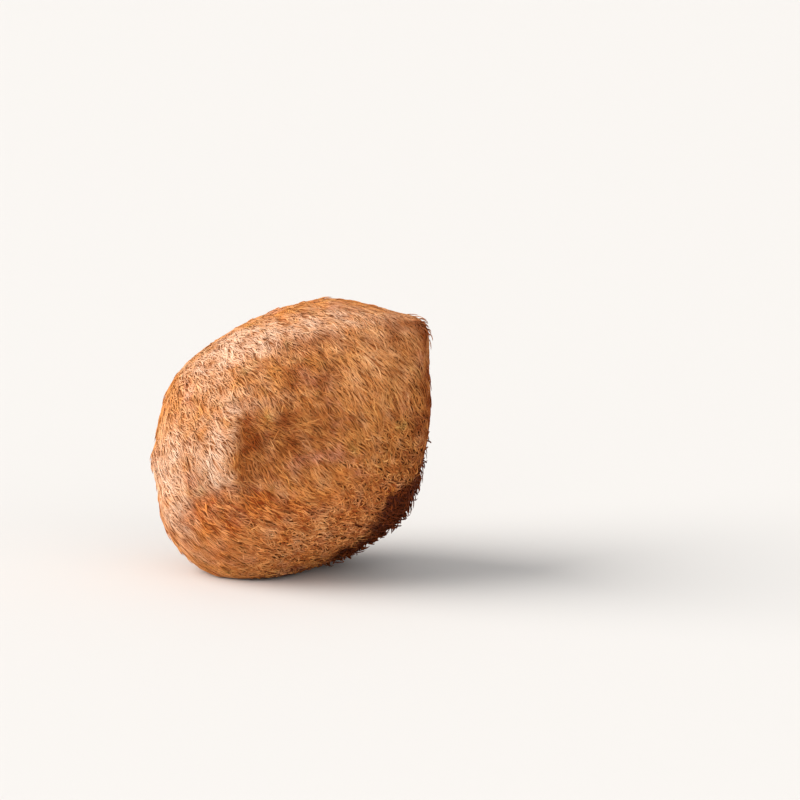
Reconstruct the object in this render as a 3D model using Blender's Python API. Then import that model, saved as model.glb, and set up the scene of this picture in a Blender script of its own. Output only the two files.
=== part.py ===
"""A dried lion's mane mushroom: one fruit body, resting on the scar where it was cut from the wood.

Metres, +Z up, +X to the right and -Y to the front. The body is an egg that leans to the right. Its
outside reaches the tips of its spines. The origin is in the plane of the scar, under the middle of
the body.
"""

import math

import bmesh
import bpy
import numpy as np

# The egg, before anything presses or shrinks it
EGG_LENGTH = 0.0918
EGG_BREADTH = 0.0686
EGG_DEPTH = 0.0700
EGG_LEAN = math.radians(28.0)  # how far its long axis rises from level, towards +X
EGG_CENTRE_HEIGHT = 0.0368  # above the scar
SUBDIVISIONS = 5  # of the icosphere it is shaped from, which gives about 5,000 triangles

# Sides that grew or dried flat: direction outwards, distance from the egg's centre, roundness of
# the turn into them
FLAT_SIDES = {
    "right side": ((1.0, -0.05, 0.08), 0.0353, 0.0013),
    "right side below": ((0.97, 0.0, -0.24), 0.0320, 0.0016),
    "upper right": ((0.24, 0.0, 0.97), 0.0397, 0.0014),
    "underside": ((0.40, -0.22, -0.92), 0.0337, 0.0016),
    "left side": ((-1.0, 0.0, -0.02), 0.0400, 0.0025),
    "back right": ((0.66, 0.70, 0.28), 0.0320, 0.0045),
}
LEAST_FACING = 0.05  # cosine below which a plane counts as edge-on, so that its distance is finite

# Soft bumps (height above zero) and dents (below): direction from the egg's centre, half-widths in
# degrees (level, then across that), height
SWELLINGS = {
    "upper left": ((-0.86, -0.10, 0.52), (16.0, 14.0), 0.0010),
    "upper right corner": ((0.73, 0.0, 0.68), (16.0, 8.0), 0.0020),
    "edge knob": ((-1.0, -0.15, -0.14), (8.0, 7.0), 0.0017),
    "shoulder": ((-0.50, -0.85, 0.05), (16.0, 24.0), 0.0016),
    "upper hollow": ((0.16, -0.80, 0.55), (13.0, 10.0), -0.0010),
    "waist": ((-0.72, -0.62, -0.26), (22.0, 8.0), -0.0009),
    "foot": ((-0.38, 0.0, -0.92), (30.0, 20.0), 0.0048),
    "heel": ((0.20, 0.44, -0.88), (26.0, 26.0), 0.0038),
    "back swelling": ((-0.62, 0.76, -0.20), (36.0, 38.0), 0.0038),
    "back dent": ((0.05, 0.95, 0.30), (14.0, 22.0), -0.0016),
}

# The crease: a dent on the front with one steep wall, where the flesh folded as it dried
CREASE_DIRECTION = (-0.17, -1.0, 0.07)
CREASE_HALF_WIDTHS = (27.0, 20.0)
CREASE_DEPTH = 0.0030
CREASE_WALL_AT = -19.0  # degrees to the side of the middle of the dent
CREASE_WALL_WIDTH = 7.0  # degrees over which it falls by three quarters of the depth

FLESH_COLOUR = (0.56, 0.30, 0.15)
FLESH_ROUGHNESS = 0.9
SHARP_ANGLE = math.radians(40.0)


def clear_scene():
    for obj in list(bpy.data.objects):
        bpy.data.objects.remove(obj, do_unlink=True)


def make_collection(name):
    collection = bpy.data.collections.new(name)
    bpy.context.scene.collection.children.link(collection)
    return collection


def flesh_material():
    material = bpy.data.materials.new("dried_mushroom_flesh")
    material.use_nodes = True
    shader = material.node_tree.nodes["Principled BSDF"]
    shader.inputs["Base Color"].default_value = (*FLESH_COLOUR, 1.0)
    shader.inputs["Roughness"].default_value = FLESH_ROUGHNESS
    shader.inputs["Metallic"].default_value = 0.0
    return material


def unit(vector):
    vector = np.asarray(vector, float)
    return vector / np.linalg.norm(vector)


def angles_from(directions, middle):
    """Degrees to the side (towards +X on the front) and upwards, from a middle direction."""
    ahead = unit(middle)
    side = unit(np.cross(ahead, (0.0, 0.0, 1.0)))
    side = side if side[0] >= 0.0 else -side
    up = np.cross(side, ahead)
    up = up if up[2] >= 0.0 else -up
    forwards = directions @ ahead
    sideways = np.degrees(np.arctan2(directions @ side, forwards))
    upwards = np.degrees(np.arctan2(directions @ up, forwards))
    return sideways, upwards


def bell(directions, middle, half_widths):
    """1 at the middle direction, falling off as a Gaussian with these half-widths in degrees."""
    sideways, upwards = angles_from(directions, middle)
    reach = (sideways / half_widths[0]) ** 2 + (upwards / half_widths[1]) ** 2
    return np.exp(-reach)


def egg_radius(directions):
    """Distance from the centre to an ellipsoid whose long axis rises towards +X."""
    along = directions[:, 0] * math.cos(EGG_LEAN) + directions[:, 2] * math.sin(EGG_LEAN)
    across = directions[:, 2] * math.cos(EGG_LEAN) - directions[:, 0] * math.sin(EGG_LEAN)
    ratios = np.stack(
        [along / EGG_LENGTH, across / EGG_BREADTH, directions[:, 1] / EGG_DEPTH], axis=1
    )
    return 0.5 / np.linalg.norm(ratios, axis=1)


def press_flat(radius, directions, normal, distance, roundness):
    """A soft minimum of the radius and the plane's distance along each direction."""
    facing = np.maximum(directions @ unit(normal), LEAST_FACING)
    plane = distance / facing
    nearest = np.minimum(radius, plane)
    rest = np.exp(-(radius - nearest) / roundness) + np.exp(-(plane - nearest) / roundness)
    return nearest - roundness * np.log(rest)


def crease_depth(directions):
    """The dent's bell shape, cut off on one side by a steep wall that is a smooth step."""
    sideways, _ = angles_from(directions, CREASE_DIRECTION)
    step = 0.5 + 0.5 * np.tanh(2.0 * (sideways - CREASE_WALL_AT) / CREASE_WALL_WIDTH)
    return CREASE_DEPTH * bell(directions, CREASE_DIRECTION, CREASE_HALF_WIDTHS) * step


def body_radius(directions):
    radius = egg_radius(directions)
    for normal, distance, roundness in FLAT_SIDES.values():
        radius = press_flat(radius, directions, normal, distance, roundness)
    for middle, half_widths, height in SWELLINGS.values():
        radius = radius + height * bell(directions, middle, half_widths)
    return radius - crease_depth(directions)


def cut_at_scar(bm):
    """Cuts the body off at z = 0 and closes the cut with one flat face."""
    everything = bm.verts[:] + bm.edges[:] + bm.faces[:]
    bmesh.ops.bisect_plane(
        bm, geom=everything, plane_co=(0, 0, 0), plane_no=(0, 0, -1), clear_outer=True
    )
    rim = [edge for edge in bm.edges if edge.is_boundary]
    bmesh.ops.holes_fill(bm, edges=rim, sides=0)
    bmesh.ops.recalc_face_normals(bm, faces=bm.faces[:])


def centre_over_origin(bm):
    points = np.array([vert.co[:] for vert in bm.verts])
    middle = (points.min(axis=0) + points.max(axis=0)) / 2.0
    bmesh.ops.translate(bm, verts=bm.verts[:], vec=(-middle[0], -middle[1], 0.0))


def make_fruit_body(collection):
    bm = bmesh.new()
    bmesh.ops.create_icosphere(bm, subdivisions=SUBDIVISIONS, radius=1.0)
    directions = np.array([vert.co.normalized()[:] for vert in bm.verts])
    points = directions * body_radius(directions)[:, None]
    points[:, 2] += EGG_CENTRE_HEIGHT
    for vert, point in zip(bm.verts, points):
        vert.co = point
    cut_at_scar(bm)
    centre_over_origin(bm)
    mesh = bpy.data.meshes.new("fruit_body")
    bm.to_mesh(mesh)
    bm.free()
    mesh.shade_smooth()
    mesh.set_sharp_from_angle(angle=SHARP_ANGLE)
    mesh.materials.append(flesh_material())
    fruit_body = bpy.data.objects.new("fruit_body", mesh)
    collection.objects.link(fruit_body)
    return fruit_body


def main():
    clear_scene()
    make_fruit_body(make_collection("lions_mane_mushroom"))


main()
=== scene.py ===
"""A dried lion's mane mushroom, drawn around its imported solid.

The solid reaches the tips of the spines. Here the mushroom is a lump of dried flesh, a little
smaller than the solid, and a coat of about 32,600 spines that grow out of it and fill the rest.
Metres, +Z up, -Y to the front.
"""

import math

import bpy
import numpy as np
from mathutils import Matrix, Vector


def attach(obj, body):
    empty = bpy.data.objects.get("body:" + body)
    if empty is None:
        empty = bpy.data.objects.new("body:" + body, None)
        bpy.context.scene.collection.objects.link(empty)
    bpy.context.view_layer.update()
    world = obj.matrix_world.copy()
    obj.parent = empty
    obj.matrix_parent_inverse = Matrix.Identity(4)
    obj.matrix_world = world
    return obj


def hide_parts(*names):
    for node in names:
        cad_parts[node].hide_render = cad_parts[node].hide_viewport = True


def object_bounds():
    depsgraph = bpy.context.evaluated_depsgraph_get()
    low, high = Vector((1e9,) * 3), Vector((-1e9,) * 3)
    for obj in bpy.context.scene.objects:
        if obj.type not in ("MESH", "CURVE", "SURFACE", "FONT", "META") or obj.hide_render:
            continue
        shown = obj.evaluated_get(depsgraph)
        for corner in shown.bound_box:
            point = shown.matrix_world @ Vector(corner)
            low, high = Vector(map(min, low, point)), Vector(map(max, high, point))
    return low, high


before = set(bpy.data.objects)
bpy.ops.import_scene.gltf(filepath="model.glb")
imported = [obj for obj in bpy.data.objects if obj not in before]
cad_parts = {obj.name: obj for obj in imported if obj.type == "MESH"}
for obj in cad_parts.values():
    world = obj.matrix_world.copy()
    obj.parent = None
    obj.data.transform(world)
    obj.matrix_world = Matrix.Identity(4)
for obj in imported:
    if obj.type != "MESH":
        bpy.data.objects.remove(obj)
cad_low, cad_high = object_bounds()


# ---------------------------------------------------------------------------------------------
# The flesh: one lump of tough, spongy fungus. It grew as a lopsided egg, was pressed flat by what
# it touched, then shrank, creased and dried brown. Its flat foot is the scar where it was cut
# from the wood. Hardly any of it shows between the spines.
# ---------------------------------------------------------------------------------------------

MM = 0.001

# The outer shape, which the flesh follows from inside and the spines reach with their tips
EGG_LENGTH = 91.8 * MM
EGG_BREADTH = 68.6 * MM
EGG_DEPTH = 70.0 * MM
EGG_LEAN = math.radians(28.0)  # how far its long axis rises from level, towards +X
EGG_HEIGHT = 36.8 * MM  # of its centre above the cut

# Sides that grew or dried flat: outward direction, distance from the centre, roundness of the
# turn into them
FLAT_SIDES = (
    ((1.0, -0.05, 0.08), 35.3 * MM, 1.3 * MM),  # right
    ((0.97, 0.0, -0.24), 32.0 * MM, 1.6 * MM),  # right, lower down
    ((0.24, 0.0, 0.97), 39.7 * MM, 1.4 * MM),  # upper right
    ((0.40, -0.22, -0.92), 33.7 * MM, 1.6 * MM),  # underside
    ((-1.0, 0.0, -0.02), 40.0 * MM, 2.5 * MM),  # left
    ((0.66, 0.70, 0.28), 32.0 * MM, 4.5 * MM),  # back right
)
LEAST_FACING = 0.05  # cosine below which a plane counts as edge-on, so its distance is finite

# Bumps and dents: direction, half-widths sideways and upwards in degrees, height
SWELLINGS = (
    ((-0.86, -0.10, 0.52), (16.0, 14.0), 1.0 * MM),  # upper left
    ((0.73, 0.0, 0.68), (16.0, 8.0), 2.0 * MM),  # corner on the upper right
    ((-1.0, -0.15, -0.14), (8.0, 7.0), 1.7 * MM),  # knob on the left edge
    ((-0.50, -0.85, 0.05), (16.0, 24.0), 1.6 * MM),  # shoulder
    ((0.16, -0.80, 0.55), (13.0, 10.0), -1.0 * MM),  # hollow above the middle
    ((-0.72, -0.62, -0.26), (22.0, 8.0), -0.9 * MM),  # waist
    ((-0.38, 0.0, -0.92), (30.0, 20.0), 4.8 * MM),  # foot
    ((0.20, 0.44, -0.88), (26.0, 26.0), 3.8 * MM),  # heel
    ((-0.62, 0.76, -0.20), (36.0, 38.0), 3.8 * MM),  # back, left
    ((0.05, 0.95, 0.30), (14.0, 22.0), -1.6 * MM),  # dent in the back
)

# The crease on the front, where the flesh folded in as it dried
CREASE_DIRECTION = (-0.17, -1.0, 0.07)
CREASE_HALF_WIDTHS = (27.0, 20.0)
CREASE_DEPTH = 3.6 * MM
CREASE_WALL_AT = -19.5  # degrees sideways, where the flesh steps down into the crease
CREASE_WALL_WIDTH = 1.8
CREASE_TOP_AT = 11.0  # degrees upwards, where it gets shallow
CREASE_TOP_WIDTH = 9.0
CREASE_LEFT_ABOVE = 0.25  # share of the depth that is left above its top

# The fold low on the left front: the coat above it hangs over the coat below
FOLD_PEAK = (-31.0, -12.0)  # degrees round from the front, and above the centre's level
FOLD_ROUNDNESS = 5.0
FOLD_SLOPE = 0.37  # degrees down for each degree round, either way from the peak
FOLD_WIDTH = 3.0
FOLD_REACH = (46.0, 15.0)  # degrees round and down over which it fades
FOLD_HEIGHT = 1.0 * MM

# Slight lumps all over: the mean of some sine waves over the directions
LUMP_HEIGHT = 0.55 * MM  # of one wave
LUMP_WAVES = 12
LUMP_TURNS = 11.0  # radians along a unit direction, as a typical wave vector
lump_random = np.random.default_rng(3)
LUMPS = lump_random.normal(size=(LUMP_WAVES, 3)) * LUMP_TURNS
LUMP_PHASES = lump_random.uniform(0.0, 2.0 * math.pi, LUMP_WAVES)


def unit(vectors):
    """Vectors over their own lengths."""
    vectors = np.asarray(vectors, float)
    return vectors / np.linalg.norm(vectors, axis=-1, keepdims=True)


def angles_from(directions, middle):
    """Degrees sideways (towards +X on the front) and upwards from a middle direction: the
    arctangents of the parts across it over the part along it."""
    ahead = unit(middle)
    side = unit(np.cross(ahead, (0.0, 0.0, 1.0)))
    side = side if side[0] >= 0.0 else -side
    up = np.cross(side, ahead)
    up = up if up[2] >= 0.0 else -up
    forwards = directions @ ahead
    sideways = np.degrees(np.arctan2(directions @ side, forwards))
    upwards = np.degrees(np.arctan2(directions @ up, forwards))
    return sideways, upwards


def bell(directions, middle, half_widths):
    """exp(-(sideways / a)^2 - (upwards / b)^2): 1 at the middle direction, 0 far from it."""
    sideways, upwards = angles_from(directions, middle)
    return np.exp(-((sideways / half_widths[0]) ** 2) - (upwards / half_widths[1]) ** 2)


def bells(directions, spots):
    """The sum of bells, each times its own share or height, the last value of a spot."""
    return sum(bell(directions, middle, widths) * share for middle, widths, share in spots)


def stepped(past, width):
    """1 / (1 + exp(-4 past / width)): 0 well before an edge and 1 well past it."""
    return 1.0 / (1.0 + np.exp(np.minimum(-4.0 * past / width, 50.0)))


def crease_share(directions):
    """1 deep in the crease, 0 outside: a bell with a smooth step on its left and at its top."""
    sideways, upwards = angles_from(directions, CREASE_DIRECTION)
    wall = stepped(sideways - CREASE_WALL_AT, CREASE_WALL_WIDTH)
    below = stepped(CREASE_TOP_AT - upwards, CREASE_TOP_WIDTH)
    depth = CREASE_LEFT_ABOVE + (1.0 - CREASE_LEFT_ABOVE) * below
    return bell(directions, CREASE_DIRECTION, CREASE_HALF_WIDTHS) * wall * depth


def fold_share(directions):
    """1 just under the fold, 0 above it: a smooth step below an edge that falls away to both
    sides of its peak, fading round and down as a bell does."""
    around = np.degrees(np.arctan2(directions[:, 0], -directions[:, 1])) - FOLD_PEAK[0]
    edge = FOLD_PEAK[1] - FOLD_SLOPE * (np.hypot(around, FOLD_ROUNDNESS) - FOLD_ROUNDNESS)
    above = np.degrees(np.arcsin(directions[:, 2])) - edge
    fading = np.exp(-((around / FOLD_REACH[0]) ** 2) - (above / FOLD_REACH[1]) ** 2)
    return stepped(-above, FOLD_WIDTH) * fading


def body_radius(directions):
    """Distance from the egg's centre to the outside, along unit directions.

    It is the radius of a leaning ellipsoid, softly cut by each flat side's plane (the soft
    minimum -k log(exp(-a/k) + exp(-b/k))), plus each swelling's bell and the mean of the lumps'
    waves, less the crease and the fold.
    """
    along = directions[:, 0] * math.cos(EGG_LEAN) + directions[:, 2] * math.sin(EGG_LEAN)
    across = directions[:, 2] * math.cos(EGG_LEAN) - directions[:, 0] * math.sin(EGG_LEAN)
    ratios = [along / EGG_LENGTH, across / EGG_BREADTH, directions[:, 1] / EGG_DEPTH]
    radius = 0.5 / np.linalg.norm(np.stack(ratios, axis=1), axis=1)
    for normal, distance, roundness in FLAT_SIDES:
        plane = distance / np.maximum(directions @ unit(normal), LEAST_FACING)
        nearest = np.minimum(radius, plane)
        rest = np.exp(-(radius - nearest) / roundness) + np.exp(-(plane - nearest) / roundness)
        radius = nearest - roundness * np.log(rest)
    radius = radius + bells(directions, SWELLINGS)
    radius = radius + LUMP_HEIGHT * np.sin(directions @ LUMPS.T + LUMP_PHASES).mean(axis=1)
    radius = radius - CREASE_DEPTH * crease_share(directions)
    return radius - FOLD_HEIGHT * fold_share(directions)


def sphere_grid(rows, columns):
    """Unit directions in rows from the top down and columns round the Z axis, each of them
    (sin p cos a, sin p sin a, cos p). The two poles are left out."""
    polar = np.linspace(0.0, math.pi, rows + 2)[1:-1, None]
    around = np.linspace(0.0, 2.0 * math.pi, columns, endpoint=False)[None, :]
    x = np.sin(polar) * np.cos(around)
    y = np.sin(polar) * np.sin(around)
    z = np.cos(polar) * np.ones_like(around)
    return np.stack([x, y, z], axis=-1).reshape(-1, 3)


MEASURING_GRID = (238, 360)  # rows and columns


def egg_centre():
    """The centre that puts the formula's body, cut at z = 0, in the middle of the CAD box."""
    directions = sphere_grid(*MEASURING_GRID)
    points = directions * body_radius(directions)[:, None]
    points = points[points[:, 2] > -EGG_HEIGHT]
    shift = (np.array(cad_low) + cad_high) / 2.0 - (points.min(axis=0) + points.max(axis=0)) / 2.0
    return np.array([shift[0], shift[1], EGG_HEIGHT])


CENTRE = egg_centre()

# The spines hang the way that was down while the head grew on its tree
GROWTH_DOWN = unit((0.60, -0.45, -0.55))
NORMAL_STEP = 0.01  # radians, for measuring slopes
ASKEW = (0.31, 0.52, 0.79)  # the first of the two steps is square to this
STANDING_FROM = 0.45  # cosine to the way down, above which the spines begin to stand
STANDING_FULL = 0.90

COAT_DEPTH = 0.6 * MM  # where the spines lie
COAT_THINNER_UPSTREAM = 0.25 * MM
COAT_THICKER_STANDING = 0.5 * MM


def surface_normals(directions):
    """Outward normals of the body, from the cross product of two short steps over it."""
    first = unit(np.cross(directions, ASKEW))
    second = np.cross(directions, first)
    here = directions * body_radius(directions)[:, None]
    ends = []
    for turn in (first, second):
        turned_to = unit(directions + NORMAL_STEP * turn)
        ends.append(turned_to * body_radius(turned_to)[:, None] - here)
    normals = unit(np.cross(ends[0], ends[1]))
    return normals * np.sign(np.sum(normals * directions, axis=1, keepdims=True))


def eased(share):
    """s^2 (3 - 2 s) of a share s clipped to 0..1, which is level at both ends."""
    share = np.clip(share, 0.0, 1.0)
    return share * share * (3.0 - 2.0 * share)


def standing_share(normals):
    """0 where the spines lie along the body, 1 where they hang straight out of it: an eased
    step in the cosine between the normal and the way down."""
    return eased((normals @ GROWTH_DOWN - STANDING_FROM) / (STANDING_FULL - STANDING_FROM))


def coat_depth(normals):
    """How deep the flesh lies under the tips: 0.6 mm, less the upstream cosine times 0.25 mm
    where the spines start from, and 0.5 mm more where they stand."""
    upstream = np.clip(-(normals @ GROWTH_DOWN), 0.0, 1.0)
    thicker = COAT_THICKER_STANDING * standing_share(normals)
    return COAT_DEPTH - COAT_THINNER_UPSTREAM * upstream + thicker


def linear(colour):
    """An sRGB hex colour as linear RGBA: each channel c becomes ((c + 0.055) / 1.055)^2.4."""
    channels = [int(colour[i : i + 2], 16) / 255.0 for i in (1, 3, 5)]
    curved = [c / 12.92 if c <= 0.04045 else ((c + 0.055) / 1.055) ** 2.4 for c in channels]
    return (*curved, 1.0)


def new_material(name):
    """A node material with one Principled shader: (material, its node tree, the shader)."""
    material = bpy.data.materials.new(name)
    material.use_nodes = True
    tree = material.node_tree
    return material, tree, tree.nodes["Principled BSDF"]


def node(tree, kind, settings=None, inputs=None, output=0):
    """Adds a node and gives one of its outputs. settings are its properties. inputs are its
    sockets by name or number, each with a plain value or with another node's output."""
    made = tree.nodes.new(kind)
    for name, value in (settings or {}).items():
        setattr(made, name, value)
    for socket, value in (inputs or {}).items():
        if isinstance(value, bpy.types.NodeSocket):
            tree.links.new(value, made.inputs[socket])
        else:
            made.inputs[socket].default_value = value
    return made.outputs[output]


MIX_COLOURS = {"data_type": "RGBA"}
SMOOTHLY = {"interpolation_type": "SMOOTHSTEP"}
# A Mix node's colour sockets, by number because its sockets for numbers have the same names
SHARE, FIRST, SECOND, MIXED = 0, 6, 7, 2

FLESH_BLOTCH = 4.0 * MM
FLESH_PORE = 0.6 * MM  # drawn coarser than the real ones, which are too fine to show
# Values of the noises, and heights, between which one colour goes over into the other
BLOTCH_EDGE = (0.35, 0.65)
PORE_EDGE = (0.4, 0.6)
SCAR_TOP = (0.05 * MM, 0.4 * MM)


def dried_flesh():
    """Mushroom flesh, dried in air: matt and cork-like with open pores, which gives it no
    gloss. It is brown in blotches and buff on the cut scar. Where the spines stand it is darker:
    painted shade, for there it shows only at the bottom of the pits."""
    material, tree, shader = new_material("dried_mushroom_flesh")
    place = node(tree, "ShaderNodeTexCoord", output="Object")
    height = node(tree, "ShaderNodeSeparateXYZ", None, {0: place}, "Z")
    standing = node(tree, "ShaderNodeAttribute", {"attribute_name": "standing"}, output="Fac")
    blotch_scale = {"Vector": place, "Scale": 0.5 / FLESH_BLOTCH, "Detail": 4.0}
    blotches = node(tree, "ShaderNodeTexNoise", None, blotch_scale, "Fac")
    pore_scale = {"Vector": place, "Scale": 0.5 / FLESH_PORE, "Detail": 3.0}
    pores = node(tree, "ShaderNodeTexNoise", None, pore_scale, "Fac")

    shares = []
    for value, edge in ((blotches, BLOTCH_EDGE), (pores, PORE_EDGE), (height, SCAR_TOP)):
        limits = {"Value": value, "From Min": edge[0], "From Max": edge[1]}
        shares.append(node(tree, "ShaderNodeMapRange", SMOOTHLY, limits, "Result"))
    in_blotch, in_pore, above_scar = shares
    layers = {SHARE: in_blotch, FIRST: linear("#93531F"), SECOND: linear("#B57440")}
    brown = node(tree, "ShaderNodeMix", MIX_COLOURS, layers, MIXED)
    # Painted shade: the flesh is darker where the spines stand, for there it shows only in the pits
    layers = {SHARE: standing, FIRST: brown, SECOND: linear("#6E3411")}
    brown = node(tree, "ShaderNodeMix", MIX_COLOURS, layers, MIXED)
    layers = {SHARE: in_pore, FIRST: linear("#8A5A33"), SECOND: linear("#B98B5E")}
    buff = node(tree, "ShaderNodeMix", MIX_COLOURS, layers, MIXED)
    layers = {SHARE: above_scar, FIRST: buff, SECOND: brown}
    colour = node(tree, "ShaderNodeMix", MIX_COLOURS, layers, MIXED)
    tree.links.new(colour, shader.inputs["Base Color"])

    limits = {"Value": pores, "To Min": 0.82, "To Max": 0.96}
    rough = node(tree, "ShaderNodeMapRange", None, limits, "Result")
    tree.links.new(rough, shader.inputs["Roughness"])
    relief = {"Strength": 0.6, "Distance": 0.4 * MM, "Height": pores}
    bump = node(tree, "ShaderNodeBump", None, relief, "Normal")
    tree.links.new(bump, shader.inputs["Normal"])
    shader.inputs["Specular IOR Level"].default_value = 0.3
    return material


def new_piece(name, points, faces, material):
    """A smooth mesh object at the origin, from arrays of points and of faces, one a row."""
    mesh = bpy.data.meshes.new(name)
    mesh.vertices.add(len(points))
    mesh.vertices.foreach_set("co", np.ascontiguousarray(points, np.float32).ravel())
    mesh.loops.add(faces.size)
    mesh.loops.foreach_set("vertex_index", faces.astype(np.int32).ravel())
    mesh.polygons.add(len(faces))
    starts = np.arange(0, faces.size, faces.shape[1], dtype=np.int32)
    mesh.polygons.foreach_set("loop_start", starts)
    mesh.update(calc_edges=True)
    mesh.validate()
    mesh.shade_smooth()
    mesh.materials.append(material)
    piece = bpy.data.objects.new(name, mesh)
    bpy.context.scene.collection.objects.link(piece)
    return piece


def closed_grid_faces(rows, columns):
    """Triangles of a grid that is round in its columns and closed by a pole at either end.

    Point (i, j) is i * columns + j. The top pole and the bottom pole are the last two points.
    """
    row, column = np.meshgrid(np.arange(rows - 1), np.arange(columns), indexing="ij")
    a = (row * columns + column).ravel()
    b = (row * columns + (column + 1) % columns).ravel()
    c, d = b + columns, a + columns
    sides = np.concatenate([np.stack([a, d, c], axis=1), np.stack([a, c, b], axis=1)])
    j = np.arange(columns)
    following = (j + 1) % columns
    top, bottom = rows * columns, rows * columns + 1
    last = (rows - 1) * columns
    cap = np.stack([np.full(columns, top), j, following], axis=1)
    foot = np.stack([np.full(columns, bottom), last + following, last + j], axis=1)
    return np.concatenate([sides, cap, foot])


FLESH_ROWS = 150
FLESH_COLUMNS = 220
SCAR_RIM = 1.0 * MM  # how far the flesh rounds off around the scar
FLAT_UNDER = -2.0 * SCAR_RIM  # what would lie lower than this is flat
COAT_RUNS_OUT = 6.0 * MM  # height over which the coat's depth runs out above the scar


def flesh_points(directions):
    """The body shrunk by the coat's depth, and flattened where it would pass the cut.

    A point's height z becomes SCAR_RIM log(1 + exp(z / SCAR_RIM)): nearly z well above the cut,
    and 0 below it. Near the scar the coat's depth falls to 0 in proportion to the height.
    """
    outside = directions * body_radius(directions)[:, None] + CENTRE
    rising = np.clip(outside[:, 2] / COAT_RUNS_OUT, 0.0, 1.0)
    depth = coat_depth(surface_normals(directions)) * rising
    points = outside - directions * depth[:, None]
    height = points[:, 2]
    rounded = SCAR_RIM * np.logaddexp(0.0, height / SCAR_RIM)
    points[:, 2] = np.where(height < FLAT_UNDER, 0.0, rounded)
    return points


poles = [[0.0, 0.0, 1.0], [0.0, 0.0, -1.0]]
flesh_grid = np.concatenate([sphere_grid(FLESH_ROWS, FLESH_COLUMNS), poles])
flesh = new_piece(
    "fruit_body_flesh",
    flesh_points(flesh_grid),
    closed_grid_faces(FLESH_ROWS, FLESH_COLUMNS),
    dried_flesh(),
)
# Where the spines stand on the flesh, which sets its painted shade in the pits
flesh_standing = standing_share(surface_normals(flesh_grid)).astype(np.float32)
attribute = flesh.data.attributes.new("standing", "FLOAT", "POINT")
attribute.data.foreach_set("value", flesh_standing)
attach(flesh, "root")
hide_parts("fruit_body")


# ---------------------------------------------------------------------------------------------
# The coat of spines: soft icicles of flesh that grew out of the body and hung down, then dried
# into flattened threads that lie over each other in locks. On the overhang low on the right
# they stand, and curl around small pits. Each spine is a thin closed tube.
# ---------------------------------------------------------------------------------------------

SPINES = 34500  # over the whole body; those at the scar are left out
RINGS = 6  # along a spine; the last one is its tip
SIDES = 3
SPINE_LENGTH = 6.4 * MM
SPINE_LENGTHS = (0.7, 1.25)  # shortest and longest, of that length
# The shares by which spines are shorter
SHORTER_AT_SOURCE = 0.35  # where the coat's flow starts
SHORTER_STANDING = 0.4
SHORTER_IN_FRINGE = 0.55
SPINE_WIDTH = 0.64 * MM  # at the root, drawn a little coarser than the finest real ones
SPINE_WIDTHS = (0.7, 1.2)
SPINE_FLATNESS = 0.65  # a dried spine's thickness over its width
ROOT_BURIED = 0.25 * MM
ROOT_SHIFT = 0.006  # radians, by which each root strays from the even pattern
PATTERN_POINTS = 4  # of the even pattern, for each that is kept
CROWDING = (1.2, 0.5)  # more roots where the coat's flow starts, and where spines stand
CLEAR_OF_SCAR = 0.8 * MM  # lowest root
LOWEST_PATH = 0.30 * MM  # above the floor
FLOOR_ROUNDING = 0.4 * MM

MEAN_RADIUS = EGG_DEPTH / 2.0  # turns a direction into a rough place, for sizes of patterns
WAVE_SPREAD = (0.6, 1.5)  # the waves of a size are this size over a random number in here

random = np.random.default_rng(7)


def waves(points, size, count=8):
    """A smooth random number near -1..1 at each point: the sum of sine waves of about this
    size, each along a random direction, over the square root of their count."""
    vectors = unit(random.normal(size=(count, 3))) * random.uniform(*WAVE_SPREAD, (count, 1))
    phases = random.uniform(0.0, 2.0 * math.pi, count)
    return np.sin(points @ vectors.T * 2.0 * math.pi / size + phases).sum(axis=1) / math.sqrt(count)


def source_share(normals):
    """1 where the coat's flow starts, high at the back on the left, and 0 away from there: the
    fifth power of the upstream cosine."""
    return np.clip(-(normals @ GROWTH_DOWN), 0.0, 1.0) ** 5


def even_directions(count):
    """Directions spread evenly over the body's area: a Fibonacci spiral on the sphere, whose
    point k is kept if the fraction of k sqrt(2) is less than a number that goes with the area it
    stands for. They crowd where the flow starts, for the spines part there, and where they
    stand."""
    tries = PATTERN_POINTS * count
    turn = np.arange(tries) + 0.5
    height = 1.0 - 2.0 * turn / tries
    angle = turn * math.pi * (1.0 + math.sqrt(5.0))
    flat = np.sqrt(1.0 - height**2)
    directions = np.stack([flat * np.cos(angle), flat * np.sin(angle), height], axis=1)
    directions = unit(directions + random.normal(scale=ROOT_SHIFT, size=directions.shape))
    normals = surface_normals(directions)
    area = body_radius(directions) ** 2 / np.sum(normals * directions, axis=1)
    crowding = CROWDING[0] * source_share(normals) + CROWDING[1] * standing_share(normals)
    area = area * (1.0 + crowding)
    return directions[turn * math.sqrt(2.0) % 1.0 < area / area.sum() * count]


def rooted_spines():
    """Directions and places of the spines' roots, those at the scar left out."""
    starts = even_directions(SPINES)
    places = starts * body_radius(starts)[:, None] + CENTRE
    clear = places[:, 2] > CLEAR_OF_SCAR
    return starts[clear], places[clear]


def laid(vectors, normals):
    """Vectors with their outward part taken off, so that they lie along the surface."""
    outward = np.sum(vectors * normals, axis=1, keepdims=True)
    return unit(vectors - outward * normals + 1e-6)


def turned(vectors, normals, angle):
    """Vectors in the surface turned about its normals: v cos a + (n x v) sin a."""
    return vectors * np.cos(angle)[:, None] + np.cross(normals, vectors) * np.sin(angle)[:, None]
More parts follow.
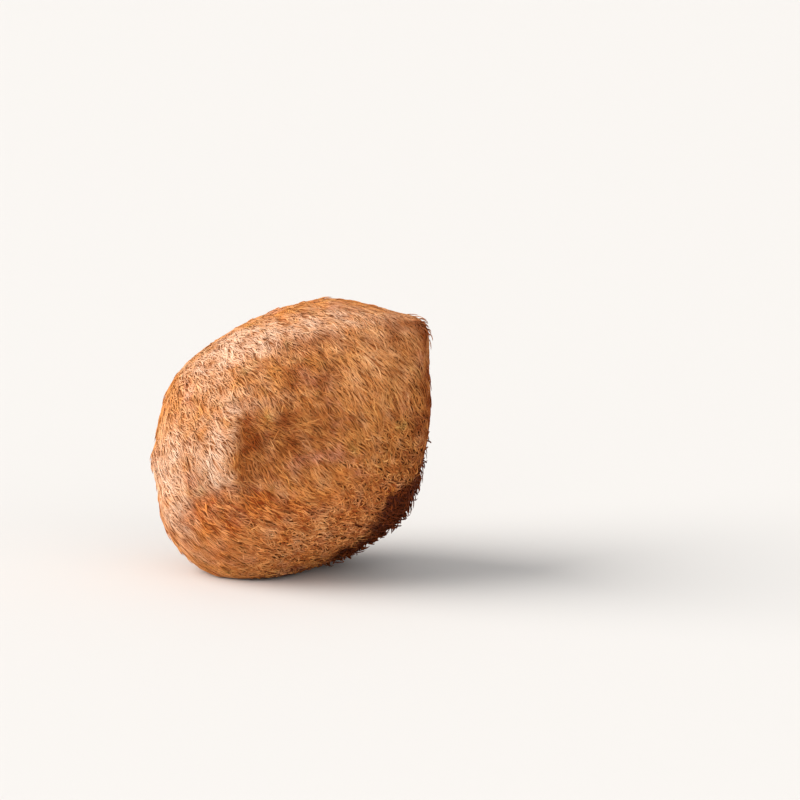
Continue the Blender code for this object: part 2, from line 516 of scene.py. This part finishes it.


# The ragged overhang low on the right, painted dark as shade, and where its edge comes forward
# or draws back: direction, half-widths in degrees, how far
OVERHANG_MIDDLE = (0.765, 0.165, -0.62)
OVERHANG_EDGE = 0.59  # cosine from its middle
OVERHANG_LOBES = (
    ((0.72, -0.60, -0.34), (8.0, 8.0), 0.10),
    ((0.46, -0.58, -0.68), (15.0, 10.0), -0.10),
)
OVERHANG_WANDER = ((0.03, 14.0 * MM), (0.02, 5.0 * MM))  # how far its edge strays, over how long
OVERHANG_SHARP = 0.10  # width of its edge on the front
OVERHANG_SOFT = 0.38  # added to that towards the back
SOFT_FROM = -0.55  # y of the direction

# A fringe of short spines that stand out on the upper right corner: direction, half-widths
FRINGE = ((0.70, -0.06, 0.71), (9.0, 5.0))
FRINGE_SHARE = 0.8  # of the overhang's raggedness

# The pits between the standing spines
PITS = 1800
PIT_RIM = 0.95 * MM  # how near a spine's root lies if it curls round the pit
PIT_WIDTH = 0.5 * MM
PIT_DEPTH = 1.0 * MM
LEAST_STANDING = 0.02  # share of standing spines under which there are no pits
ACROSS_GROWTH = unit(np.cross(GROWTH_DOWN, (0.0, 0.0, 1.0)))

# How spines turn off the flow, in radians
HEADING_WAVES = ((0.16, 18.0 * MM), (0.13, 4.0 * MM))  # how far, in waves of what size
HEADING_SPREAD = 0.08
ASTRAY = (0.04, 0.45)  # share of stray spines, and how far they turn
AIMLESS_AT_SOURCE = 0.6
AIMLESS_AT_PARTING = 2.4  # within some 8 degrees of the source's middle
AIMLESS_STANDING = 0.35
CURL = 0.06  # at each ring
MORE_CURL_AT_SOURCE = 0.08
MORE_CURL_STANDING = 0.16
ROUND_PIT_SPREAD = 0.3
ROUND_PIT_LENGTHS = (2.5, 4.0)  # lengths of the spines round a pit, of their distance from it
WIGGLE = (0.05, 0.28)  # least and most, of each spine's own sine wave
WIGGLE_RATE = 1.9  # of that wave, for each ring
LESS_WIGGLE_ROUND_PIT = 0.6  # share


def overhang_share(directions):
    """1 on the ragged overhang, which is painted dark as shade, and 0 elsewhere: an eased step
    in the cosine to its middle, plus the lobes' bells and some waves. It is sharp on the front and
    soft behind."""
    places = directions * MEAN_RADIUS
    wander = sum(far * waves(places, size) for far, size in OVERHANG_WANDER)
    behind = np.clip(directions[:, 1] - SOFT_FROM, 0.0, 1.0)
    inside = directions @ unit(OVERHANG_MIDDLE) + bells(directions, OVERHANG_LOBES) + wander
    return eased((inside - OVERHANG_EDGE) / (OVERHANG_SHARP + OVERHANG_SOFT * behind))


def free_turns(places, standing, source):
    """How spines turn off the flow: (first heading, curl at each ring, which are stray).

    The heading is the sum of waves that neighbours share and of random angles. Those are wide
    on stray spines, where spines stand, and where the flow starts, to hide the parting.
    """
    count = len(places)
    heading = sum(far * waves(places, size) for far, size in HEADING_WAVES)
    heading = heading + random.normal(scale=HEADING_SPREAD, size=count)
    astray = random.uniform(size=count) < ASTRAY[0] * (1.0 - standing)
    heading = heading + astray * random.normal(scale=ASTRAY[1], size=count)
    parting = AIMLESS_AT_PARTING * source**20
    aimless = AIMLESS_AT_SOURCE * source + parting + AIMLESS_STANDING * standing
    heading = heading + aimless * random.normal(size=count)
    curl = CURL + MORE_CURL_AT_SOURCE * source + MORE_CURL_STANDING * standing
    return heading, curl * random.normal(size=count), astray


def nearest_pits(starts):
    """The direction of the pit next to each spine, and its strength: u^0.4 for a random u from
    0 to 1, so mostly near 1."""
    pits = even_directions(PITS)
    pits = pits[standing_share(surface_normals(pits)) > LEAST_STANDING]
    strength = random.uniform(size=len(pits)) ** 0.4
    nearest = np.argmax(starts @ pits.T, axis=1)
    return pits[nearest], strength[nearest]


def pit_bearings(towards, guides, normals):
    """The angles from the guides, laid along the surface, to the vectors towards the pits."""
    ahead = laid(guides, normals)
    beside = np.cross(normals, ahead)
    return np.arctan2(np.sum(towards * beside, axis=1), np.sum(towards * ahead, axis=1))


def walked(starts, guides, length, heading, curl, curling):
    """Directions of each spine's rings: equal steps from its start along its guide, which is
    turned by its heading, its curl times the ring's number, and a sine wave of its own."""
    count = len(starts)
    wiggle = random.uniform(*WIGGLE, count) * (1.0 - LESS_WIGGLE_ROUND_PIT * curling)
    phase = random.uniform(0.0, 2.0 * math.pi, count)
    step = (length / (RINGS - 1))[:, None]
    walk = [starts]
    for ring in range(1, RINGS):
        here = walk[-1]
        normals = surface_normals(here)
        turn = heading + curl * ring + wiggle * np.sin(WIGGLE_RATE * ring + phase)
        ahead = turned(laid(guides, normals), normals, turn)
        walk.append(unit(here * body_radius(here)[:, None] + ahead * step))
    return np.stack(walk, axis=1)


# How deep the tips lie under the outer shape, in millimetres
TIP_LEAST = 0.10
TIP_RANGE = 0.32
TIP_RANGE_STANDING = 0.3  # more than that
TIP_SPREAD = (1.4, 2.4)  # of a beta distribution, so most lie nearer the least
LESS_DEEP_ASTRAY = 0.6  # share
LESS_DEEP_ROUND_PIT = 0.7
PROUD = (0.02, (0.05, 0.3))  # share of tips that stand out anywhere, and how far
PROUD_RAGGED = (0.12, (0.2, 1.4))  # and where the coat is ragged


def tip_depths(standing, ragged, astray, curling):
    """How deep each tip lies under the outer shape: the least depth plus a random share of the
    range. It is less on stray spines and around pits, and below 0 on those that stand out."""
    count = len(standing)
    shallow = random.beta(*TIP_SPREAD, count) * (1.0 - LESS_DEEP_ASTRAY * astray)
    reach = TIP_RANGE + TIP_RANGE_STANDING * standing
    depth = (TIP_LEAST + shallow * reach * (1.0 - LESS_DEEP_ROUND_PIT * curling)) * MM
    proud = random.uniform(size=count)
    depth = np.where(proud < PROUD[0], -random.uniform(*PROUD[1], count) * MM, depth)
    sticking_out = -random.uniform(*PROUD_RAGGED[1], count) * MM
    return np.where(proud < PROUD_RAGGED[0] * ragged, sticking_out, depth)


LOCK_DRAWN_OUT = 0.7  # share of their place along the flow that the finer waves leave out
LOCK_WAVES = ((0.6, 2.0 * MM), (0.3, 6.0 * MM))  # how strong, of what size
# How far tones spread from spine to spine
UNEVEN = 0.17
MORE_UNEVEN_UNDER_FOLD = 0.35
MORE_UNEVEN_STANDING = 0.1
# What is added to a middling tone
LOCK_TONE = 0.25  # times the locks' waves
ASTRAY_TONE = 0.1
ROUND_PIT_TONE = 0.3
STANDING_TONE = -0.1


def spine_tones(starts, places, standing, astray, curling):
    """How bright each spine is, from 0 to 1: random, and in locks that are drawn out along the
    flow. It is less even under the fold and where spines stand, and brighter around pits."""
    drawn_out = places - LOCK_DRAWN_OUT * (places @ GROWTH_DOWN)[:, None] * GROWTH_DOWN
    (fine, fine_size), (coarse, coarse_size) = LOCK_WAVES
    locks = fine * waves(drawn_out, fine_size) + coarse * waves(places, coarse_size)
    uneven = UNEVEN + MORE_UNEVEN_UNDER_FOLD * fold_share(starts)
    uneven = uneven + MORE_UNEVEN_STANDING * standing
    tone = 0.5 + uneven * random.normal(size=len(starts))
    tone = tone + LOCK_TONE * locks + ASTRAY_TONE * astray
    return np.clip(tone + ROUND_PIT_TONE * curling + STANDING_TONE * standing, 0.0, 1.0)


# The power p by which a spine comes up from its root to its tip, and what is added to it
FALL = 2.5
FALL_ROUND_PIT = 0.5
FALL_RAGGED = -0.8


def grow_coat():
    """Grows all spines. Gives their paths (spine, ring, xyz), the rings' directions, the rings'
    depths, each spine's tone, and how far each ring lies in a pit.

    A spine walks down the flow, or, if it stands next to a pit, round that pit: it then sets
    off at a right angle to it, and turns by its step over its distance at each ring. Its depth
    under the outer shape falls from the root's to the tip's as (1 - s)^p, with s the share of
    its length. A pit adds PIT_DEPTH exp(-(away / PIT_WIDTH)^4). Near the floor a height z
    becomes low + r log(1 + exp((z - low) / r)), so no path passes it.
    """
    starts, places = rooted_spines()
    count = len(starts)
    normals = surface_normals(starts)
    standing, source = standing_share(normals), source_share(normals)
    fringe = bell(starts, *FRINGE)
    ragged = np.maximum(overhang_share(starts), FRINGE_SHARE * fringe)
    length = SPINE_LENGTH * random.uniform(*SPINE_LENGTHS, count)
    length = length * (1.0 - SHORTER_AT_SOURCE * source) * (1.0 - SHORTER_STANDING * standing)
    length = length * (1.0 - SHORTER_IN_FRINGE * fringe)
    heading, curl, astray = free_turns(places, standing, source)

    pits, strength = nearest_pits(starts)
    towards = pits - starts
    away = np.linalg.norm(towards, axis=1) * MEAN_RADIUS
    curling = (random.uniform(size=count) < standing) & (away < PIT_RIM)
    rims = unit(pits - unit(towards) * PIT_WIDTH / MEAN_RADIUS)
    starts = np.where((curling & (away < PIT_WIDTH))[:, None], rims, starts)
    away = np.clip(away, PIT_WIDTH, PIT_RIM)
    guides = np.where(curling[:, None], ACROSS_GROWTH, GROWTH_DOWN)
    hand = random.choice([-1.0, 1.0], count)
    round_pit = pit_bearings(towards, guides, normals) - hand * math.pi / 2.0
    round_pit = round_pit + random.normal(scale=ROUND_PIT_SPREAD, size=count)
    heading = np.where(curling, round_pit, heading)
    length = np.where(curling, away * random.uniform(*ROUND_PIT_LENGTHS, count), length)
    curl = np.where(curling, hand * length / (RINGS - 1) / away, curl)
    walk = walked(starts, guides, length, heading, curl, curling)

    tip_depth = tip_depths(standing, ragged, astray, curling)[:, None]
    root_depth = (coat_depth(surface_normals(starts)) + ROOT_BURIED)[:, None]
    s = np.linspace(0.0, 1.0, RINGS)[None, :]
    fall = (1.0 - s) ** (FALL + FALL_ROUND_PIT * curling + FALL_RAGGED * ragged)[:, None]
    away = np.linalg.norm(walk - pits[:, None], axis=2) * MEAN_RADIUS
    pit = np.exp(-((away / PIT_WIDTH) ** 4)) * strength[:, None]
    depth = tip_depth + (root_depth - tip_depth) * fall + PIT_DEPTH * pit
    radius = body_radius(walk.reshape(-1, 3)).reshape(count, RINGS)
    paths = walk * (radius - depth)[:, :, None] + CENTRE
    above = (paths[:, :, 2] - LOWEST_PATH) / FLOOR_ROUNDING
    paths[:, :, 2] = LOWEST_PATH + FLOOR_ROUNDING * np.logaddexp(0.0, above)
    return paths, walk, depth, spine_tones(starts, places, standing, astray, curling), pit


def spine_tubes(paths, width):
    """Points of closed three-sided tubes along the paths: (spine, ring and side, xyz), with the
    tip last.

    A ring is a circle across the path, w (1 - 0.25 s) sqrt(1 - s^4) wide and flattened against
    the body. Its points are turned round it by a random angle that each spine keeps.
    """
    count = len(paths)
    along = unit(np.gradient(paths, axis=1))
    outward = unit(paths - CENTRE)
    beside = unit(np.cross(along, outward) + 1e-9)
    above = np.cross(beside, along)
    s = np.linspace(0.0, 1.0, RINGS)
    radius = 0.5 * width[:, None] * (1.0 - 0.25 * s) * np.sqrt(np.maximum(1.0 - s**4, 0.0))
    start_angle = random.uniform(0.0, 2.0 * math.pi, count)[:, None]
    angle = 2.0 * math.pi * np.arange(SIDES) / SIDES + start_angle
    circle = (
        np.cos(angle)[:, None, :, None] * beside[:, :, None]
        + np.sin(angle)[:, None, :, None] * above[:, :, None] * SPINE_FLATNESS
    )
    rings = paths[:, :, None] + radius[:, :, None, None] * circle
    tubes = rings[:, :-1].reshape(count, -1, 3)
    return np.concatenate([tubes, paths[:, -1:]], axis=1)


def tube_faces(count):
    """Triangles of count tubes with a root cap and a pointed tip, and each corner's place in
    the tube's own strip: (how far along, how far round), both from 0 to 1.

    Point (ring i, side j) of a tube is i * SIDES + j, and its tip is the last point.
    """
    body = RINGS - 1
    ring, side = np.meshgrid(np.arange(body - 1), np.arange(SIDES), indexing="ij")
    ring, side = ring.ravel(), side.ravel()
    a, b = ring * SIDES + side, ring * SIDES + (side + 1) % SIDES
    c, d = b + SIDES, a + SIDES
    wall = np.concatenate([np.stack([a, b, c], axis=1), np.stack([a, c, d], axis=1)])
    u, next_u = ring / body, (ring + 1) / body
    v, next_v = side / SIDES, (side + 1) / SIDES
    abc = np.stack([u, v, u, next_v, next_u, next_v], axis=1)
    acd = np.stack([u, v, next_u, next_v, next_u, v], axis=1)
    wall_strip = np.concatenate([abc, acd]).reshape(-1, 3, 2)

    j = np.arange(SIDES)
    last = (body - 1) * SIDES
    tip = np.stack([last + j, last + (j + 1) % SIDES, np.full(SIDES, body * SIDES)], axis=1)
    last_u, end_u = np.full(SIDES, (body - 1) / body), np.ones(SIDES)
    tip_places = [last_u, j / SIDES, last_u, (j + 1) / SIDES, end_u, (j + 0.5) / SIDES]
    tip_strip = np.stack(tip_places, axis=1).reshape(-1, 3, 2)
    root = np.array([[2, 1, 0]])
    root_strip = np.array([[[0.0, 1.0], [0.0, 0.5], [0.05, 0.0]]])  # a sliver at its start

    one = np.concatenate([wall, tip, root])
    places = np.concatenate([wall_strip, tip_strip, root_strip])
    points_each = body * SIDES + 1
    faces = one[None] + points_each * np.arange(count)[:, None, None]
    return faces.reshape(-1, 3), np.tile(places, (count, 1, 1))


STRIP_SHAPE = 4.0  # a spine's cell in the map: its length over its width
STRIP_MARGIN = 0.12  # of the cell


def strip_map(count, places, triangles):
    """A UV map that gives each spine a cell of its own, in rows, with its strip inside."""
    columns = int(math.ceil(math.sqrt(count / STRIP_SHAPE)))
    rows = int(math.ceil(count / columns))
    spine = np.repeat(np.arange(count), triangles)
    cell = np.array([spine % columns, spine // columns], float).T[:, None]
    inset = STRIP_MARGIN + (1.0 - 2.0 * STRIP_MARGIN) * places
    return (cell + inset) / np.array([columns, rows])


# Where the coat dried pale or stained rusty, and where straw partly paints light and umber
# mostly paints shade: direction, half-widths sideways and upwards in degrees, share
STAINS_AND_PAINTED_SHADING = {
    "straw_and_painted_light": (
        ((0.50, -0.35, 0.79), (20.0, 16.0), 0.9),
        ((0.45, -0.68, 0.56), (16.0, 12.0), 0.65),
        # Painted light: the low front made lighter as if lit from the floor in front
        ((0.14, -0.78, -0.62), (30.0, 15.0), 0.55),
        ((-0.35, -0.60, -0.72), (18.0, 12.0), 0.3),
    ),
    "pale": (
        ((-0.89, -0.42, -0.16), (16.0, 15.0), 1.0),
        ((-0.60, -0.78, 0.06), (9.0, 17.0), 1.0),
        ((-0.47, -0.38, 0.80), (16.0, 13.0), 1.0),
        ((-0.42, -0.82, 0.38), (18.0, 10.0), 0.35),
        ((-0.86, -0.32, -0.40), (11.0, 16.0), 0.75),
        ((-0.74, -0.30, 0.60), (16.0, 16.0), 0.7),
        ((-0.26, -0.95, -0.20), (16.0, 6.0), 0.5),
        ((0.10, -0.42, 0.90), (32.0, 11.0), 0.7),
        ((0.20, 0.95, 0.25), (22.0, 14.0), 0.6),
        ((-0.70, 0.68, 0.20), (16.0, 22.0), 0.6),
    ),
    "rust_and_painted_shade": (
        ((-0.12, -0.75, -0.64), (46.0, 22.0), 1.0),
        ((0.10, -0.20, 0.97), (30.0, 9.0), 0.2),
        ((0.42, -0.25, 0.87), (18.0, 10.0), 0.4),
        ((0.55, -0.70, -0.42), (30.0, 24.0), 0.5),
        ((-0.43, -0.89, 0.13), (4.0, 14.0), 0.8),
        ((-0.95, -0.20, 0.22), (12.0, 20.0), 0.1),
        ((-0.35, 0.88, -0.32), (30.0, 13.0), 0.8),
        ((0.62, 0.62, 0.48), (15.0, 20.0), 0.6),
        ((0.97, -0.25, 0.20), (20.0, 34.0), 0.7),
    ),
    "umber_and_painted_shade": (
        # Painted shade on the upper front, in and around the hollow above the middle
        ((0.10, -0.80, 0.60), (11.0, 8.0), 0.4),
        ((0.05, -0.60, 0.80), (24.0, 11.0), 0.3),
        ((-0.02, -0.92, 0.30), (24.0, 20.0), 0.38),
        # The right edge: partly its own dark colour and partly painted shadow as it turns away
        ((0.96, -0.32, 0.05), (24.0, 50.0), 1.0),
        # The dark tufts on the upper right corner, their own colour
        ((0.71, -0.12, 0.69), (9.0, 5.0), 0.35),
        # Painted shade in the dent in the back
        ((0.05, 0.95, 0.30), (12.0, 16.0), 0.5),
        # Painted shade on the underside
        ((0.25, 0.30, -0.92), (40.0, 40.0), 0.7),
    ),
}
COLOUR_BLOTCHES = ((0.22, 7.0 * MM), (0.12, 2.5 * MM))  # how strong, of what size

# Painted shade in the crease, in umber: all over it, and more along the foot of its wall and
# under its top
CREASE_PAINTED_SHADE = 0.30
CREASE_SHADES = (
    ((-0.45, -0.89, 0.02), (5.5, 18.0), 0.85),
    ((-0.28, -0.93, 0.20), (12.0, 6.0), 0.1),
)
# Under the fold: rust that is partly its own colour and partly painted shade below the ledge, and
# umber that is painted shade there
FOLD_RUST_AND_SHADE = 0.9
FOLD_PAINTED_SHADE = 0.15


def stain_and_painted_shading_shares(directions):
    """The share of each stain, painted light and painted shade from 0 to 1: the sum of its bells,
    t, blurred into blotches as t (1 + w) + w / 2 by waves w.

    Under the fold a rusty colour gathers, partly its own and partly painted shade, with dark
    brown painted shade. The crease gets dark brown painted shade and no pale. The overhang's
    share is painted shade on the underside.
    """
    crease, fold = crease_share(directions), fold_share(directions)
    crease_painted_shade = (CREASE_PAINTED_SHADE + bells(directions, CREASE_SHADES)) * crease
    # The crease keeps no pale, as part of its painted shade
    kept = {"pale": (1.0 - crease) ** 3}
    gathered = {"rust_and_painted_shade": FOLD_RUST_AND_SHADE * fold, "umber_and_painted_shade": crease_painted_shade + FOLD_PAINTED_SHADE * fold**2}
    places = directions * MEAN_RADIUS
    shares = {}
    for kind, spots in STAINS_AND_PAINTED_SHADING.items():
        total = bells(directions, spots) * kept.get(kind, 1.0) + gathered.get(kind, 0.0)
        blotches = sum(strong * waves(places, size) for strong, size in COLOUR_BLOTCHES)
        shares[kind] = np.clip(total * (1.0 + blotches) + 0.5 * blotches, 0.0, 1.0)
    # The overhang's share, which the material paints dark as shade
    shares["overhang"] = overhang_share(directions)
    return shares


# The coat's colours, laid over each other in this order: dull end and bright end of the tone
SPINE_COLOURS = {
    "plain": ("#AC6024", "#E8A55E"),
    "pinkish": ("#B26644", "#E8AA88"),
    "olive": ("#A0702C", "#DDB268"),
    # Rust, partly painted shade under the fold
    "rust_and_painted_shade": ("#9A420E", "#EE9444"),
    # Straw, partly painted light on the low front
    "straw_and_painted_light": ("#CC8244", "#F8BC80"),
    "pale": ("#D2986E", "#F6D4B8"),
    # Mostly painted shade, and the dark tufts' own colour
    "umber_and_painted_shade": ("#6C2902", "#A24E12"),
    # Painted shade deep in the coat, towards the roots
    "deep": ("#8E4A14", "#8E4A14"),
    # Painted shade on the underside of the overhang
    "overhang": ("#481503", "#7E3808"),
    # Painted shade at the bottom of the pits
    "pit": ("#38100A", "#38100A"),
}
# Faint tints in blotches: size, shift of the noise, and where on the noise they start and end
SPINE_TINTS = {
    "pinkish": (4.0 * MM, 1.0, 0.52, 0.78),
    "olive": (3.0 * MM, 2.0, 0.56, 0.80),
}
# The root's colour is painted shade deep in the coat, between the spines
DEEP = (0.5, 1.3)  # depths over the coat's, between which a spine gets its root's colour
SPINE_GRAIN = 0.5 * MM


def dried_spine():
    """A spine dried in air: matt, fibrous threads with hardly any gloss, which get their life
    from one being lighter than the next. Straw to orange-brown, with painted shade that darkens
    it deep in the coat towards the roots, in the crease, under the fold, on the overhang and in
    the pits."""
    material, tree, shader = new_material("dried_mushroom_spine")
    place = node(tree, "ShaderNodeTexCoord", output="Object")
    shares = {
        name: node(tree, "ShaderNodeAttribute", {"attribute_name": name}, output="Fac")
        for name in ("tone", "depth", *STAINS_AND_PAINTED_SHADING, "overhang", "pit")
    }
    limits = {"Value": shares["depth"], "From Min": DEEP[0], "From Max": DEEP[1]}
    shares["deep"] = node(tree, "ShaderNodeMapRange", SMOOTHLY, limits, "Result")
    for name, (size, shift, low, high) in SPINE_TINTS.items():
        sums = {0: place, 1: (shift, shift, shift)}
        moved = node(tree, "ShaderNodeVectorMath", {"operation": "ADD"}, sums)
        tint_scale = {"Vector": moved, "Scale": 0.5 / size, "Detail": 3.0}
        tint = node(tree, "ShaderNodeTexNoise", None, tint_scale, "Fac")
        limits = {"Value": tint, "From Min": low, "From Max": high}
        shares[name] = node(tree, "ShaderNodeMapRange", SMOOTHLY, limits, "Result")

    colour = linear(SPINE_COLOURS["plain"][0])
    for name, (dull, bright) in SPINE_COLOURS.items():
        ends = {SHARE: shares["tone"], FIRST: linear(dull), SECOND: linear(bright)}
        toned = node(tree, "ShaderNodeMix", MIX_COLOURS, ends, MIXED)
        layers = {SHARE: shares.get(name, 1.0), FIRST: colour, SECOND: toned}
        colour = node(tree, "ShaderNodeMix", MIX_COLOURS, layers, MIXED)
    tree.links.new(colour, shader.inputs["Base Color"])

    grain_scale = {"Vector": place, "Scale": 0.5 / SPINE_GRAIN, "Detail": 2.0}
    grain = node(tree, "ShaderNodeTexNoise", None, grain_scale, "Fac")
    limits = {"Value": grain, "To Min": 0.72, "To Max": 0.92}
    rough = node(tree, "ShaderNodeMapRange", None, limits, "Result")
    tree.links.new(rough, shader.inputs["Roughness"])
    shader.inputs["Specular IOR Level"].default_value = 0.2
    return material


def spine_piece(name, paths, numbers, material):
    """One joined mesh of spines with their strip map. numbers holds the attributes for the
    material, each as an array (spine, ring)."""
    count = len(paths)
    width = SPINE_WIDTH * random.uniform(*SPINE_WIDTHS, count)
    points = spine_tubes(paths, width)
    faces, places = tube_faces(count)
    piece = new_piece(name, points.reshape(-1, 3), faces, material)
    for label, values in numbers.items():
        around = np.repeat(values[:, :-1], SIDES, axis=1)
        values = np.concatenate([around, values[:, -1:]], axis=1).astype(np.float32)
        attribute = piece.data.attributes.new(label, "FLOAT", "POINT")
        attribute.data.foreach_set("value", values.ravel())
    uv = strip_map(count, places, len(faces) // count).astype(np.float32)
    piece.data.uv_layers.new(name="OFBake").data.foreach_set("uv", uv.ravel())
    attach(piece, "root")
    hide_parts("fruit_body")


# The coat is made in six pieces, by the side of the body that a root is nearest to. The left
# direction is a little short, which leaves some spines to the pieces beside it: each piece
# stays under 200,000 triangles.
COAT_SIDES = {
    "front": (0.0, -1.0, 0.0),
    "right": (1.0, 0.0, 0.0),
    "back": (0.0, 1.0, 0.0),
    "left": (-0.94, 0.0, 0.0),
    "crown": (0.0, 0.0, 1.0),
    "underside": (0.0, 0.0, -1.0),
}

paths, walk, depth, tone, pit = grow_coat()
stains_and_painted_shading = stain_and_painted_shading_shares(walk.reshape(-1, 3))
numbers = {label: values.reshape(depth.shape) for label, values in stains_and_painted_shading.items()}
numbers["tone"] = np.repeat(tone[:, None], RINGS, axis=1)
numbers["depth"] = depth / coat_depth(surface_normals(walk[:, 0]))[:, None]
# How far each ring lies in a pit, which the material paints dark as shade
numbers["pit"] = pit
spine_material = dried_spine()
nearest_side = np.argmax(walk[:, 0] @ np.array(list(COAT_SIDES.values())).T, axis=1)
for number, side_name in enumerate(COAT_SIDES):
    chosen = nearest_side == number
    chosen_numbers = {label: values[chosen] for label, values in numbers.items()}
    spine_piece("spines_" + side_name, paths[chosen], chosen_numbers, spine_material)


# ---------------------------------------------------------------------------------------------
# The studio: a wide pale floor, a broad soft light like a sun through haze from high on the
# left, a weaker one from the front, and a plain sky that fills the shadows.
# ---------------------------------------------------------------------------------------------

FLOOR_HALF = 8.0  # of its side, in metres
# Suns: where the light comes from, the angle it is spread over, strength, colour
LIGHTS = {
    "key_light": ((-0.84, -0.02, 0.52), math.radians(62.0), 4.1, "#FFFBF6"),
    "fill_light": ((0.30, -0.94, 0.05), math.radians(90.0), 1.9, "#FFF8F0"),
}
SKY_LIGHT = 0.52  # what lights the scene
SKY_SEEN = 0.93  # what shows behind the floor


def add_floor():
    """A square of matt pale board, four corners at z = 0."""
    corners = np.array([[-1, -1, 0], [1, -1, 0], [1, 1, 0], [-1, 1, 0]]) * FLOOR_HALF
    material, _, shader = new_material("pale_studio_floor")
    shader.inputs["Base Color"].default_value = linear("#DDDCDB")
    shader.inputs["Roughness"].default_value = 0.9
    floor = new_piece("studio_floor", corners, np.array([[0, 1, 2, 3]]), material)


def add_light(name, place, angle, strength, colour):
    """A sun whose light comes from the side where place lies, spread over an angle."""
    lamp = bpy.data.lights.new(name, "SUN")
    lamp.angle = angle
    lamp.energy = strength
    lamp.color = linear(colour)[:3]
    holder = bpy.data.objects.new(name, lamp)
    holder.rotation_euler = (-Vector(place)).to_track_quat("-Z", "Y").to_euler()
    bpy.context.scene.collection.objects.link(holder)


def add_sky():
    """White behind the floor for the camera, and a dimmer white that lights the scene."""
    world = bpy.data.worlds.new("studio_sky")
    world.use_nodes = True
    bpy.context.scene.world = world
    tree = world.node_tree
    seen = node(tree, "ShaderNodeLightPath", output="Is Camera Ray")
    limits = {"Value": seen, "To Min": SKY_LIGHT, "To Max": SKY_SEEN}
    strength = node(tree, "ShaderNodeMapRange", None, limits, "Result")
    background = tree.nodes["Background"]
    background.inputs["Color"].default_value = (1.0, 1.0, 1.0, 1.0)
    tree.links.new(strength, background.inputs["Strength"])


add_floor()
for light_name, light_settings in LIGHTS.items():
    add_light(light_name, *light_settings)
add_sky()
bpy.context.scene.view_settings.view_transform = "Standard"


# ---------------------------------------------------------------------------------------------
# The camera: a long lens a metre away, looking slightly down at the front. The mushroom stands a
# little left of the middle of its picture, and a little below it.
# ---------------------------------------------------------------------------------------------

CAMERA_DISTANCE = 1.0
CAMERA_ELEVATION = math.radians(9.5)
CAMERA_TARGET = 36.0 * MM  # height on the mushroom that it is level with
PICTURE_WIDTH = 216.0 * MM  # of the picture, measured where the mushroom stands
RIGHT_OF_MUSHROOM = 29.6 * MM  # the picture's middle, from the mushroom's
ABOVE_MUSHROOM = 10.0 * MM


def add_camera():
    """Places the camera a metre off its target, and aims it at the middle of the picture."""
    target = Vector((0.0, 0.0, CAMERA_TARGET))
    ahead = Vector((0.0, math.cos(CAMERA_ELEVATION), -math.sin(CAMERA_ELEVATION)))
    up = Vector((0.0, math.sin(CAMERA_ELEVATION), math.cos(CAMERA_ELEVATION)))
    lens = bpy.data.cameras.new("camera")
    lens.lens = lens.sensor_width * CAMERA_DISTANCE / PICTURE_WIDTH
    lens.clip_start = 0.05
    camera = bpy.data.objects.new("camera", lens)
    camera.location = target - ahead * CAMERA_DISTANCE
    aim = target + Vector((RIGHT_OF_MUSHROOM, 0.0, 0.0)) + up * ABOVE_MUSHROOM
    camera.rotation_euler = (aim - camera.location).to_track_quat("-Z", "Y").to_euler()
    bpy.context.scene.collection.objects.link(camera)
    bpy.context.scene.camera = camera


add_camera()
